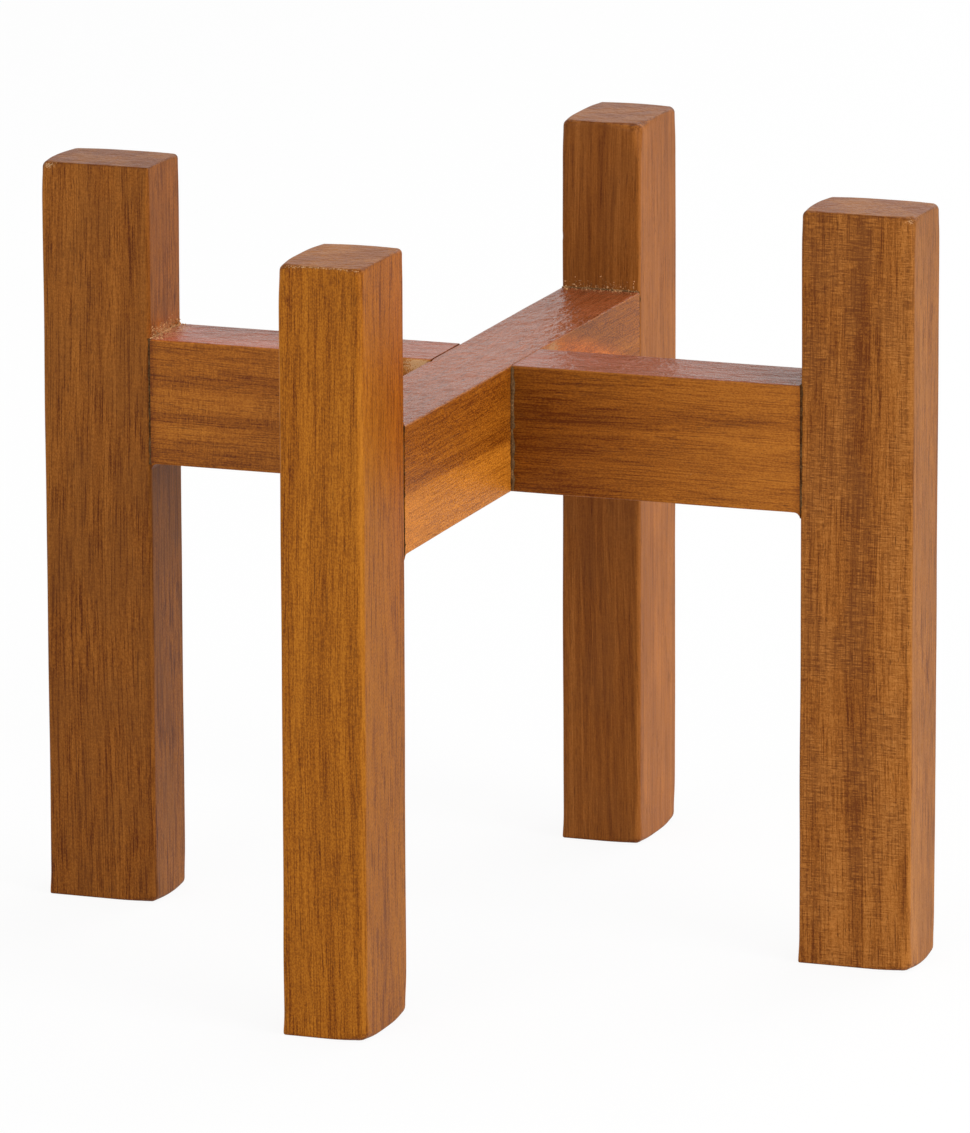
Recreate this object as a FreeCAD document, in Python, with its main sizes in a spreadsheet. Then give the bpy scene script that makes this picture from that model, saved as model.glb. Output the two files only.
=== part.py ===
import FreeCAD, Part
import os

import Sketcher

# Pot stand: four upright legs at the ends of a level cross of two halved bars.
# Millimetres. +X runs along the lower bar, +Y along the upper bar, +Z is up,
# and the origin lies on the floor under the middle of the cross.

DRIVING_SIZES = [
    ("bar_length", 224.0, "clear space between two opposite legs, where the pot goes"),
    ("bar_height", 42.0, "bar section, upright"),
    ("stock_width", 28.0, "bar and leg section across the bar, flush with each other"),
    ("leg_depth", 38.0, "leg section along its bar"),
    ("seat_height", 191.0, "floor to the top of the cross"),
    ("leg_rise", 57.0, "top of the cross to the leg tops"),
    ("lap_play", 0.1, "side play between a bar and the notch that it lies in"),
    ("leg_rounding", 1.4, "radius of the sanded upright and top edges of a leg"),
    ("foot_bevel", 1.0, "bevel round the foot of a leg"),
    ("bar_rounding", 0.8, "radius of the sanded long edges of a bar"),
    ("dowel_diameter", 8.0, "dowel over its ribs"),
    ("dowel_length", 40.0, "dowel, end to end, half of it in each piece"),
    ("dowel_spacing", 20.0, "upright distance between the two dowels of a joint"),
    ("dowel_bevel", 1.0, "bevel on each end of a dowel"),
    ("dowel_play", 0.05, "room between a dowel and its hole, all round"),
    ("glue_room", 1.0, "room beyond each end of a dowel"),
    ("flute_count", 5, "glue flutes round a dowel"),
    ("flute_width", 0.9, "width of a flute at the dowel's surface"),
    ("flute_depth", 0.4, "depth of a flute"),
]

# Sizes and places that several pieces share.
LEG_HEIGHT = "(sizes.seat_height + sizes.leg_rise)"
BAR_MIDDLE = "(sizes.seat_height - sizes.bar_height / 2)"
HALF_WIDTH = "sizes.stock_width / 2"
HALF_LENGTH = "sizes.bar_length / 2"
HALF_HEIGHT = "sizes.bar_height / 2"
HALF_SPACING = "sizes.dowel_spacing / 2"
HOLE_DIAMETER = "(sizes.dowel_diameter + 2 * sizes.dowel_play)"
HOLE_DEPTH = "(sizes.dowel_length / 2 + sizes.glue_room)"

# Each arm of the cross: its name, the turn of its outward direction from +X in
# degrees, and that direction.
ARMS = [
    ("right", 0, (1, 0)),
    ("back", 90, (0, 1)),
    ("left", 180, (-1, 0)),
    ("front", 270, (0, -1)),
]
UPRIGHT = FreeCAD.Vector(0, 0, 1)

# How a sketch names its own origin and axes, and a line's or circle's points.
SKETCH_ORIGIN = (-1, 1)
SKETCH_X_AXIS, SKETCH_Y_AXIS = -1, -2
START, END, CENTRE = range(1, 4)

doc = FreeCAD.newDocument("pot_stand")


def make_sheet():
    """Write the driving sizes into the document's spreadsheet."""
    sheet = doc.addObject("Spreadsheet::Sheet", "sizes")
    for row, (alias, value, meaning) in enumerate(DRIVING_SIZES, start=1):
        sheet.set(f"A{row}", alias)
        sheet.set(f"B{row}", str(value))
        sheet.setAlias(f"B{row}", alias)
        sheet.set(f"C{row}", meaning)
    doc.recompute()


def new_body(label):
    body = doc.addObject("PartDesign::Body", label)
    body.Label = label
    return body


def origin_feature(body, role):
    """One of the body's own origin planes or axes, by its role."""
    return next(item for item in body.Origin.OriginFeatures if item.Role == role)


def new_sketch(body, name, role):
    """An empty sketch on one of the body's origin planes."""
    sketch = body.newObject("Sketcher::SketchObject", f"{body.Label}_{name}")
    sketch.AttachmentSupport = [(origin_feature(body, role), "")]
    sketch.MapMode = "FlatFace"
    return sketch


def bind(sketch, name, expression, kind, *points):
    """Add a named size to a sketch and tie it to the sheet."""
    value = sketch.evalExpression(expression)
    index = sketch.addConstraint(Sketcher.Constraint(kind, *points, value))
    sketch.renameConstraint(index, name)
    sketch.setExpression(f"Constraints.{name}", expression)


def place_point(sketch, name, kind, point, expression):
    """Set a point at a signed distance, DistanceX or DistanceY, from the sketch origin."""
    value = sketch.evalExpression(expression)
    if value == 0:
        axis = SKETCH_X_AXIS if kind == "DistanceY" else SKETCH_Y_AXIS
        sketch.addConstraint(Sketcher.Constraint("PointOnObject", *point, axis))
    elif value > 0:
        bind(sketch, name, expression, kind, *SKETCH_ORIGIN, *point)
    else:
        bind(sketch, name, f"-({expression})", kind, *point, *SKETCH_ORIGIN)


def draw_outline(sketch, corners):
    """A closed outline of straight sides through corners given as expressions."""
    points = [FreeCAD.Vector(*(sketch.evalExpression(part) for part in corner), 0)
              for corner in corners]
    for start, end in zip(points, points[1:] + points[:1]):
        sketch.addGeometry(Part.LineSegment(start, end), False)
    for side in range(len(points)):
        following = (side + 1) % len(points)
        sketch.addConstraint(Sketcher.Constraint("Coincident", side, END, following, START))


def draw_rectangle(sketch, left, right, bottom, top):
    """A rectangle whose sides lie at signed distances from the sketch origin."""
    draw_outline(sketch, [(left, bottom), (right, bottom), (right, top), (left, top)])
    for side, kind in enumerate(["Horizontal", "Vertical", "Horizontal", "Vertical"]):
        sketch.addConstraint(Sketcher.Constraint(kind, side))
    place_point(sketch, "bottom_side", "DistanceY", (0, START), bottom)
    place_point(sketch, "right_side", "DistanceX", (1, START), right)
    place_point(sketch, "top_side", "DistanceY", (2, START), top)
    place_point(sketch, "left_side", "DistanceX", (3, START), left)


def draw_circle(sketch, name, height, diameter):
    """A circle on the sketch's upright axis."""
    centre = FreeCAD.Vector(0, sketch.evalExpression(height), 0)
    outline = Part.Circle(centre, UPRIGHT, sketch.evalExpression(diameter) / 2)
    circle = sketch.addGeometry(outline, False)
    sketch.addConstraint(Sketcher.Constraint("PointOnObject", circle, CENTRE, SKETCH_Y_AXIS))
    place_point(sketch, f"{name}_height", "DistanceY", (circle, CENTRE), height)
    bind(sketch, f"{name}_diameter", diameter, "Diameter", circle)


def draw_dowel_pair(sketch, middle):
    """Two hole outlines above each other, evenly about a middle height."""
    draw_circle(sketch, "top", f"{middle} + {HALF_SPACING}", HOLE_DIAMETER)
    draw_circle(sketch, "bottom", f"{middle} - {HALF_SPACING}", HOLE_DIAMETER)


def pad(body, sketch, name, length, midplane=False):
    feature = body.newObject("PartDesign::Pad", f"{body.Label}_{name}")
    feature.Profile = sketch
    feature.Midplane = midplane
    feature.setExpression("Length", length)
    doc.recompute()
    return feature


def check_cut(body, name, before):
    """Stop if a cut took nothing away."""
    if body.Shape.Volume >= before:
        raise RuntimeError(f"{body.Label}: {name} cuts nothing")


def pocket(body, sketch, name, length, upward=False, midplane=False):
    before = body.Shape.Volume
    feature = body.newObject("PartDesign::Pocket", f"{body.Label}_{name}")
    feature.Profile = sketch
    feature.Reversed = upward
    feature.Midplane = midplane
    feature.setExpression("Length", length)
    doc.recompute()
    check_cut(body, name, before)
    return feature


def drill(body, sketch, along_normal):
    """Blind dowel holes with flat ends."""
    before = body.Shape.Volume
    feature = body.newObject("PartDesign::Hole", f"{body.Label}_dowel_holes")
    feature.Profile = sketch
    doc.recompute()
    feature.ThreadType = "None"
    feature.HoleCutType = "None"
    feature.DepthType = "Dimension"
    feature.DrillPoint = "Flat"
    feature.Reversed = along_normal
    feature.setExpression("Diameter", HOLE_DIAMETER)
    feature.setExpression("Depth", HOLE_DEPTH)
    doc.recompute()
    check_cut(body, "dowel_holes", before)
    return feature


def edge_names(shape, wanted):
    """Names of the edges that a test picks out."""
    return [f"Edge{number}" for number, edge in enumerate(shape.Edges, start=1) if wanted(edge)]


def runs_along_x(edge):
    return edge.BoundBox.XLength > edge.Length / 2


def lies_on_floor(edge):
    return edge.BoundBox.ZMax < edge.Tolerance


def clear_of_floor(edge):
    return not lies_on_floor(edge)


def round_edges(body, base, wanted, radius):
    feature = body.newObject("PartDesign::Fillet", f"{body.Label}_sanded_edges")
    feature.Base = (base, edge_names(base.Shape, wanted))
    feature.setExpression("Radius", radius)
    doc.recompute()
    return feature


def bevel_edges(body, base, wanted, size):
    feature = body.newObject("PartDesign::Chamfer", f"{body.Label}_bevels")
    feature.Base = (base, edge_names(base.Shape, wanted))
    feature.setExpression("Size", size)
    doc.recompute()
    return feature


def turn_about_upright(body, turn):
    body.Placement = FreeCAD.Placement(FreeCAD.Vector(), FreeCAD.Rotation(UPRIGHT, turn))


def stand_on_arm(body, turn, outward, height):
    """Turn a piece to its arm and set it out to the end of the bar."""
    turn_about_upright(body, turn)
    for axis, share in zip("xy", outward):
        if share:
            body.setExpression(f"Placement.Base.{axis}", f"{share} * {HALF_LENGTH}")
    body.setExpression("Placement.Base.z", height)
    doc.recompute()


def make_leg(arm, turn, outward):
    """A leg, drawn with its inner face on the YZ plane and its outer face towards +X."""
    body = new_body(f"leg_{arm}")
    section = new_sketch(body, "section", "XY_Plane")
    draw_rectangle(section, "0", "sizes.leg_depth", f"-{HALF_WIDTH}", HALF_WIDTH)
    post = pad(body, section, "post", LEG_HEIGHT)
    sanded = round_edges(body, post, clear_of_floor, "sizes.leg_rounding")
    bevel_edges(body, sanded, lies_on_floor, "sizes.foot_bevel")
    holes = new_sketch(body, "hole_centres", "YZ_Plane")
    draw_dowel_pair(holes, BAR_MIDDLE)
    drill(body, holes, along_normal=True)
    stand_on_arm(body, turn, outward, "0")
    return body


def make_bar(name, turn, notch_above):
    """A bar, drawn along X about its own middle, with half its height notched away."""
    body = new_body(name)
    section = new_sketch(body, "section", "YZ_Plane")
    draw_rectangle(section, f"-{HALF_WIDTH}", HALF_WIDTH, f"-{HALF_HEIGHT}", HALF_HEIGHT)
    rail = pad(body, section, "rail", "sizes.bar_length", midplane=True)
    round_edges(body, rail, runs_along_x, "sizes.bar_rounding")

    notch = new_sketch(body, "notch_outline", "XY_Plane")
    reach = f"({HALF_WIDTH} + sizes.lap_play)"
    draw_rectangle(notch, f"-{reach}", reach, f"-{HALF_WIDTH}", HALF_WIDTH)
    pocket(body, notch, "notch", HALF_HEIGHT, upward=notch_above)

    holes = new_sketch(body, "hole_centres", "YZ_Plane")
    holes.setExpression("AttachmentOffset.Base.z", HALF_LENGTH)
    draw_dowel_pair(holes, "0")
    near_holes = drill(body, holes, along_normal=False)
    far_holes = body.newObject("PartDesign::Mirrored", f"{name}_other_end_holes")
    far_holes.Originals = [near_holes]
    far_holes.MirrorPlane = (origin_feature(body, "YZ_Plane"), [""])
    body.Tip = far_holes

    turn_about_upright(body, turn)
    body.setExpression("Placement.Base.z", BAR_MIDDLE)
    doc.recompute()
    return body


def draw_flute(sketch):
    """A three-cornered flute profile, point inwards, wide side clear of the dowel."""
    root = "(sizes.dowel_diameter / 2 - sizes.flute_depth)"
    mouth = "(sizes.dowel_diameter / 2 + sizes.flute_depth)"
    draw_outline(sketch, [("0", root), ("sizes.flute_width", mouth), ("-sizes.flute_width", mouth)])
    place_point(sketch, "root_middle", "DistanceX", (0, START), "0")
    place_point(sketch, "root_height", "DistanceY", (0, START), root)
    place_point(sketch, "mouth_height", "DistanceY", (1, START), mouth)
    place_point(sketch, "mouth_reach", "DistanceX", (1, START), "sizes.flute_width")
    sketch.addConstraint(Sketcher.Constraint("Symmetric", 1, START, 1, END, SKETCH_Y_AXIS))


def make_dowel(arm, turn, outward, level, height):
    """A fluted dowel, drawn along X about its own middle, which lies in the joint."""
    body = new_body(f"dowel_{arm}_{level}")
    section = new_sketch(body, "section", "YZ_Plane")
    draw_circle(section, "rod", "0", "sizes.dowel_diameter")
    rod = pad(body, section, "rod", "sizes.dowel_length", midplane=True)
    bevel_edges(body, rod, Part.Edge.isClosed, "sizes.dowel_bevel")

    profile = new_sketch(body, "flute_profile", "YZ_Plane")
    draw_flute(profile)
    flute = pocket(body, profile, "flute", "sizes.dowel_length", midplane=True)
    flutes = body.newObject("PartDesign::PolarPattern", f"{body.Label}_flutes")
    flutes.Originals = [flute]
    flutes.Axis = (origin_feature(body, "X_Axis"), [""])
    flutes.setExpression("Occurrences", "sizes.flute_count")
    body.Tip = flutes

    stand_on_arm(body, turn, outward, height)
    return body


def check_document(bodies):
    """Stop if any object failed, or any piece is not one valid solid."""
    for item in doc.Objects:
        if {"Invalid", "Error"} & set(item.State):
            raise RuntimeError(f"{item.Label} failed: {item.State}")
    for body in bodies:
        shape = body.Shape
        if shape.isNull() or not shape.isValid() or len(shape.Solids) != 1:
            raise RuntimeError(f"{body.Label} is not one valid solid")


def main():
    make_sheet()
    bodies = [make_leg(*arm) for arm in ARMS]
    bodies.append(make_bar("crossbar_lower", 0, notch_above=True))
    bodies.append(make_bar("crossbar_upper", 90, notch_above=False))
    for arm in ARMS:
        bodies.append(make_dowel(*arm, "top", f"{BAR_MIDDLE} + {HALF_SPACING}"))
        bodies.append(make_dowel(*arm, "bottom", f"{BAR_MIDDLE} - {HALF_SPACING}"))
    doc.recompute()
    check_document(bodies)
    os.makedirs("parts", exist_ok=True)
    for body in bodies:
        body.Shape.exportStep(f"parts/{body.Label}.step")
        box = body.Shape.BoundBox
        print(f"{body.Label}: volume {body.Shape.Volume:.1f}, "
              f"x {box.XMin:.2f} to {box.XMax:.2f}, y {box.YMin:.2f} to {box.YMax:.2f}, "
              f"z {box.ZMin:.2f} to {box.ZMax:.2f}")


main()
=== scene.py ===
import math
from collections import namedtuple
from typing import NamedTuple

import bmesh
import bpy
import numpy as np
from bpy.props import FloatProperty, FloatVectorProperty, IntProperty, PointerProperty
from mathutils import Matrix, Vector, noise


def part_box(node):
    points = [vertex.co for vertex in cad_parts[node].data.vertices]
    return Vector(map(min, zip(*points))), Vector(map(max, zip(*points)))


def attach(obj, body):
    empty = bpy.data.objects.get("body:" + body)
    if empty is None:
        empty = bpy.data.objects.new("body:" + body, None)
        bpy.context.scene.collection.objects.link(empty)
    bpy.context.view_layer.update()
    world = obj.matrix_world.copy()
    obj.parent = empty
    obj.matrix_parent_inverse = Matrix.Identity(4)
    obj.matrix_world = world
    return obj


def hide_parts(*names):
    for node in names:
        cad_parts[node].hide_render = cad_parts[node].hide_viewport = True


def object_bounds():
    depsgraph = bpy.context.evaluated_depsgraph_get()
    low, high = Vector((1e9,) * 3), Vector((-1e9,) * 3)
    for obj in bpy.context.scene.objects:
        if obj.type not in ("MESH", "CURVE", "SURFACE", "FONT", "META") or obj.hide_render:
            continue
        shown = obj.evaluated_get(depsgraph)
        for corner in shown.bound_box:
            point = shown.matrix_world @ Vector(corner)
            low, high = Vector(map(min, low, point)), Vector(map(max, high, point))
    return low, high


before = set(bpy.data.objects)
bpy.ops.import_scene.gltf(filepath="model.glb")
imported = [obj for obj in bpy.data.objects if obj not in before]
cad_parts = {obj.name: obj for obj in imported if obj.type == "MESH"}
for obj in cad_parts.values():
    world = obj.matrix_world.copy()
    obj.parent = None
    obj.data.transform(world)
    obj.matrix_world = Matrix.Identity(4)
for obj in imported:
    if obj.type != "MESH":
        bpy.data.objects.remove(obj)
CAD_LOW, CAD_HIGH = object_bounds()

# Wooden stand for a plant pot: four sanded legs at the ends of a cross of two halved bars.
# The boards are made as grids, so that their edges can be rounded unevenly, as sanding by
# hand leaves them. Each point of a board also carries its place in the wood, in millimetres,
# and the wood materials grow their grain, pores and growth bands from that.

bl_info = {
    "name": "Pot stand",
    "version": (1, 0, 0),
    "blender": (4, 5, 0),
    "location": "3D View > Sidebar > Pot stand",
    "description": "Makes a wooden pot stand around its CAD frame",
    "category": "Object",
}

MM = 0.001
BODY = "root"
X, Y, Z = range(3)
WHITE = (1.0, 1.0, 1.0, 1.0)

BARS = ("crossbar_lower", "crossbar_upper")
ARMS = ("right", "back", "left", "front")
DOWEL_ROWS = ("top", "bottom")
RIGHT, FRONT, UP = (1, 0, 0), (0, -1, 0), (0, 0, 1)


class StainAndLight(NamedTuple):
    """A place in a board that looks different, either in the wood's own colour or through light and shade
    painted into its colour: its middle and reach in millimetres, how much lighter it is, the way its
    faces look, how sharply it ends, how far it sinks along the board, and how much warmer, dustier and
    more cross-figured it is."""
    middle: tuple
    reach: tuple
    tone: float = 0.0
    facing: tuple = ()
    sharpness: float = 1.0
    lean: float = 0.0
    warm: float = 0.0
    dust: float = 0.0
    rows: float = 0.0


# How the wood of each board is figured, in the order of BOARDS. Lengths in millimetres, strengths as
# shares of the tone.
BOARDS = ("leg_right", "leg_back", "leg_left", "leg_front", "crossbar_lower", "crossbar_upper")
TRAITS = {
    "seed": (11.0, 23.0, 37.0, 51.0, 67.0, 83.0),
    "pith": ((-70.0, 30.0), (60.0, -80.0), (-40.0, 70.0), (90.0, -25.0), (20.0, 75.0), (-30.0, -80.0)),
    "band_width": (5.0, 6.0, 4.5, 7.0, 6.0, 7.0),
    "bands": (0.40, 0.35, 0.50, 0.40, 0.30, 0.22),
    "ribbons": (0.45, 0.40, 0.60, 0.40, 0.34, 0.25),
    "stripes": (0.12, 0.20, 0.12, 0.08, 0.08, 0.08),
    "threads": (0.38, 0.20, 0.48, 0.34, 0.32, 0.30),
    "lines": (0.60, 0.50, 0.80, 0.80, 0.70, 0.50),
    "pores": (0.60, 0.50, 0.60, 0.40, 0.50, 0.50),
    "hatch": (0.60, 0.06, 0.14, 0.12, 0.36, 0.24),
    "flecks": (0.20, 0.10, 0.24, 0.26, 0.24, 0.46),
    "dull": (0.30, 0.25, 0.30, 0.10, 0.10, 0.10),
    "worn": (0.30, 0.25, 0.15, 0.50, 0.06, 0.06),
}
Figure = namedtuple("Figure", TRAITS)
FIGURES = dict(zip(BOARDS, map(Figure, *TRAITS.values())))

# Places where each board looks different: marks of the wood's own, and light and shade painted into its
# colour as a lighter or darker tone.
STAINS_AND_LIGHT = {
    "leg_right": [
        StainAndLight((131.8, -14, 150), (4.4, 8, 140), -0.17, FRONT, 5.0),
        StainAndLight((131, -14, 215), (60, 20, 60), -0.13, FRONT),
        StainAndLight((146, -14, 120), (6, 20, 300), 0.10, FRONT),
        StainAndLight((147.5, -14, 30), (1.4, 6, 11), -0.35),
        StainAndLight((150, -14, 124), (60, 7, 400), 0.10, RIGHT),
        # Painted light: the right face lighter towards the foot.
        StainAndLight((150, 0, 0), (60, 60, 120), 0.22, RIGHT),
        StainAndLight((149, -14, 247), (3, 3, 2), dust=0.45),
    ],
    "leg_back": [
        # Painted light: the right face lighter all over, where light from the right falls.
        StainAndLight((14, 131, 124), (60, 60, 400), 0.33, RIGHT, warm=0.12),
        StainAndLight((0, 131, 248), (40, 40, 4), 0.40, UP),
        # Painted light: the right face lighter again towards the foot.
        StainAndLight((14, 131, 40), (60, 60, 90), 0.10, RIGHT),
        StainAndLight((0, 112, 192), (30, 3, 5), 0.04, FRONT, dust=0.34),
    ],
    "leg_left": [
        StainAndLight((-131, -14, 0), (60, 60, 70), -0.12, FRONT),
        StainAndLight((-112, 0, 225), (60, 60, 40), 0.05, RIGHT, warm=0.16),
        StainAndLight((-112, -2, 192), (3, 18, 4), 0.12, RIGHT, warm=0.5, dust=0.56),
        StainAndLight((-147, -14, 247), (3, 3, 2.5), dust=0.55),
        StainAndLight((-139, -14, 241), (4.5, 3, 0.5), dust=0.45),
    ],
    "leg_front": [
        StainAndLight((8, -150, 235), (8, 20, 40), -0.08, FRONT),
        StainAndLight((0, -150, 110), (60, 20, 60), 0.03, FRONT),
        StainAndLight((14, -150, 124), (60, 12, 400), 0.10, RIGHT),
        StainAndLight((14, -131, 235), (60, 60, 50), -0.06, RIGHT, warm=0.12),
        StainAndLight((14, -112, 190), (60, 18, 60), -0.08, RIGHT, warm=0.30),
        StainAndLight((0, -150, 248), (30, 2.4, 1.6), dust=0.40),
        StainAndLight((-10.6, -150, 236.5), (0.7, 3, 0.9), -0.6),
    ],
    "crossbar_lower": [
        # Painted shade: the front of the right arm darker towards the inner corner of the cross.
        StainAndLight((18, -14, 170), (34, 10, 60), -0.22, FRONT),
        StainAndLight((40, -14, 175), (34, 10, 2.6), -0.16, FRONT),
        StainAndLight((90, -14, 177.5), (34, 10, 2.8), -0.16, FRONT, lean=-0.06),
        # Painted light: the front of the right arm lighter towards the right leg.
        StainAndLight((108, -14, 170), (50, 10, 60), 0.18, FRONT),
        # Painted shade: the front of each end darker where the bar meets its leg, in the groove of the
        # joint.
        StainAndLight((112, -14, 170), (1.3, 6, 60), -0.30),
        StainAndLight((-112, -14, 170), (1.5, 6, 60), -0.34),
        StainAndLight((-85, -14, 168), (38, 10, 22), 0.0, FRONT, rows=1.4),
        StainAndLight((-85, -14, 178.5), (45, 10, 1.8), -0.18, FRONT, lean=-0.02),
        StainAndLight((-85, -14, 165), (50, 10, 1.6), -0.18, FRONT, lean=-0.02),
        StainAndLight((-98, -14, 161.5), (18, 10, 3.2), 0.28, FRONT),
        StainAndLight((-92, -14, 171), (28, 10, 3.6), 0.15, FRONT),
        StainAndLight((76, -14, 159.5), (7, 3, 1.3), 0.0, FRONT, lean=-0.25, dust=0.36),
        StainAndLight((31, -14, 160), (1.0, 3, 2.2), 0.0, FRONT, dust=0.36),
        # Painted sheen and light on the top: lighter along the middle, lighter and warmer at the front of
        # the left arm, and painted shade along its back edge.
        StainAndLight((0, 0, 191), (82, 40, 9), 0.32, UP),
        StainAndLight((-80, -10, 191), (40, 6, 9), 0.30, UP, warm=0.20),
        StainAndLight((-80, 11, 191), (40, 3, 9), -0.30, UP),
        StainAndLight((104, 0, 191), (16, 30, 3), -0.25, UP, dust=0.30),
        StainAndLight((-18, -14, 189), (7, 8, 5), 0.35, FRONT, dust=0.80),
        StainAndLight((-109, 0, 191), (8, 30, 3), 0.16, UP, warm=0.4, dust=0.52),
    ],
    "crossbar_upper": [
        # Painted light and shade on the near part of the right face: the lower half lit lighter, a thin
        # painted shadow along the edge of that light, and painted shade over the upper part.
        StainAndLight((14, -60, 149), (60, 200, 19.0), 0.46, RIGHT, 16.0, 0.025),
        StainAndLight((14, -60, 171), (60, 200, 3.0), -0.10, RIGHT, lean=0.025),
        StainAndLight((14, -60, 188), (60, 200, 7.0), -0.14, RIGHT),
        # Painted bounce light on the right face behind the other bar: a lighter, warmer glow low down.
        StainAndLight((14, 62, 150), (60, 64, 34.5), 0.20, RIGHT, 20.0, 0.31),
        StainAndLight((14, 60, 178), (60, 46, 7.0), 0.20, RIGHT, 2.0, 0.28, warm=0.60),
        StainAndLight((14, 25, 188), (60, 12, 6), 0.25, RIGHT, dust=0.66),
        # Painted sheen: the top lighter about the middle of the bar.
        StainAndLight((0, 10, 191), (40, 60, 9), 0.10, UP),
        StainAndLight((0, 110, 191), (30, 6, 3), 0.0, UP, dust=0.34),
    ],
}

# Dents in the edges: each one's middle, radius and depth in millimetres.
CHIPS = {
    "leg_right": [
        ((118, -14, 248), 1.3, 0.4), ((133, -14, 248), 1.1, 0.3), ((149, -14, 246), 1.6, 0.5),
    ],
    "leg_back": [
        ((-14, 112, 208), 1.5, 0.7), ((4, 112, 248), 1.2, 0.3),
    ],
    "leg_left": [
        ((-147, -14, 248), 2.4, 0.9), ((-128, -14, 248), 1.2, 0.3),
        ((-116, -14, 248), 1.0, 0.3),
    ],
    "leg_front": [
        ((-8, -150, 248), 1.6, 0.4), ((3, -150, 248), 2.2, 0.5), ((12, -150, 248), 1.4, 0.4),
    ],
    "crossbar_upper": [
        ((-14, -15, 191), 2.2, 0.8), ((-14, 20, 191), 1.2, 0.3), ((14, -70, 191), 1.4, 0.3),
    ],
}

# Rounder places on the edges: each one's middle, reach and added radius in millimetres.
WEARS = {
    "leg_right": [
        ((150, -14, 248), 6.0, 2.0), ((112, -14, 248), 6.0, 1.6), ((150, 14, 248), 6.0, 1.6),
        ((112, 14, 248), 7.0, 2.2), ((150, -14, 0), 7.0, 2.6), ((150, 14, 0), 7.0, 2.2),
    ],
    "leg_back": [
        ((14, 112, 248), 9.0, 2.8), ((-14, 112, 248), 6.0, 1.8), ((14, 150, 248), 7.0, 1.8),
        ((-14, 150, 248), 7.0, 1.8), ((14, 112, 0), 7.0, 1.6), ((14, 150, 0), 8.0, 2.4),
    ],
    "leg_left": [
        ((-150, -14, 248), 6.0, 1.8), ((-150, 14, 248), 8.0, 2.4),
        ((-112, 14, 248), 5.0, 1.0), ((-112, -14, 0), 7.0, 1.8), ((-112, 14, 0), 7.0, 1.8),
    ],
    "leg_front": [
        ((-14, -150, 248), 7.0, 2.0), ((14, -150, 248), 5.0, 1.2),
        ((-14, -112, 248), 7.0, 2.0), ((14, -112, 248), 6.0, 1.2),
        ((14, -150, 0), 7.0, 2.0), ((14, -112, 0), 8.0, 2.4),
        ((14, -150, 124), (5, 5, 400), 0.8),
    ],
}


def wood_colour(label, default):
    """A colour setting for a wood or a glue."""
    return FloatVectorProperty(
        name=label, description="Middle tone of this wood or glue", subtype="COLOR",
        size=3, min=0.0, max=1.0, default=default,
    )


def length(label, description, default):
    """A length setting in metres."""
    return FloatProperty(name=label, description=description, default=default, min=0.0, unit="LENGTH")


def share_of(label, description, default, low=0.0, high=1.0):
    """A setting that is a share."""
    return FloatProperty(
        name=label, description=description, default=default, min=low, max=high, subtype="FACTOR",
    )


def number(label, description, default):
    """A plain setting that isn't below zero."""
    return FloatProperty(name=label, description=description, default=default, min=0.0)


def angle(label, description, degrees):
    """An angle setting, given in degrees."""
    return FloatProperty(
        name=label, description=description, default=math.radians(degrees), subtype="ANGLE",
    )


class BoardSettings(bpy.types.PropertyGroup):
    """Sizes of the sanded boards."""
    leg_rounding: length("Leg edges", "Radius of a leg's sanded edges", 1.4 * MM)
    bar_rounding: length("Bar edges", "Radius of a bar's sanded long edges", 0.8 * MM)
    sanding_wave: length("Sanding wave", "Depth of the hollows that hand sanding leaves", 0.25 * MM)
    grid_step: length("Grid step", "Distance between grid lines across a board's faces", 0.9 * MM)
    grid_run: length("Grid run", "Distance between grid lines along a board", 1.6 * MM)
    fillet: length("Fillet", "Radius of the corner under a bar's end where it meets a leg", 2.2 * MM)
    end_sharpness: share_of("End sharpness", "Share by which a leg's ends are sharper", 0.5, high=0.9)
    unevenness: share_of("Unevenness", "Share by which an edge's radius wanders", 0.3, high=0.6)


class WoodColours(bpy.types.PropertyGroup):
    """Colours of the wood, and of the glue on it."""
    leg_right: wood_colour("Right leg", (0.265, 0.086, 0.011))
    leg_back: wood_colour("Back leg", (0.215, 0.065, 0.008))
    leg_left: wood_colour("Left leg", (0.212, 0.064, 0.006))
    leg_front: wood_colour("Front leg", (0.282, 0.086, 0.004))
    crossbar_lower: wood_colour("Lower bar", (0.262, 0.077, 0.005))
    crossbar_upper: wood_colour("Upper bar", (0.300, 0.083, 0.004))
    pore: wood_colour("Pores", (0.070, 0.018, 0.004))
    torn: wood_colour("Torn fibre", (0.560, 0.340, 0.170))
    dowel: wood_colour("Dowels", (0.620, 0.420, 0.230))
    # The darkest glue, which also paints the shade in the grooves beside the bars' ends.
    old_glue: wood_colour("Dark glue", (0.045, 0.018, 0.006))
    glue: wood_colour("Glue", (0.150, 0.080, 0.034))
    pale_glue: wood_colour("Pale glue", (0.620, 0.330, 0.150))


class VarnishSettings(bpy.types.PropertyGroup):
    """Sheen and relief of the finished wood."""
    roughness: share_of("Roughness", "Roughness of the satin varnish", 0.46, low=0.05)
    polish: share_of("Polish", "How much smoother the tops of the bars are", 0.20, high=0.4)
    relief: length("Grain relief", "Depth of the open pores", 0.08 * MM)
    top_relief: number("Top relief", "How much deeper than a pore the waves on a bar's top are", 11.0)


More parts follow.
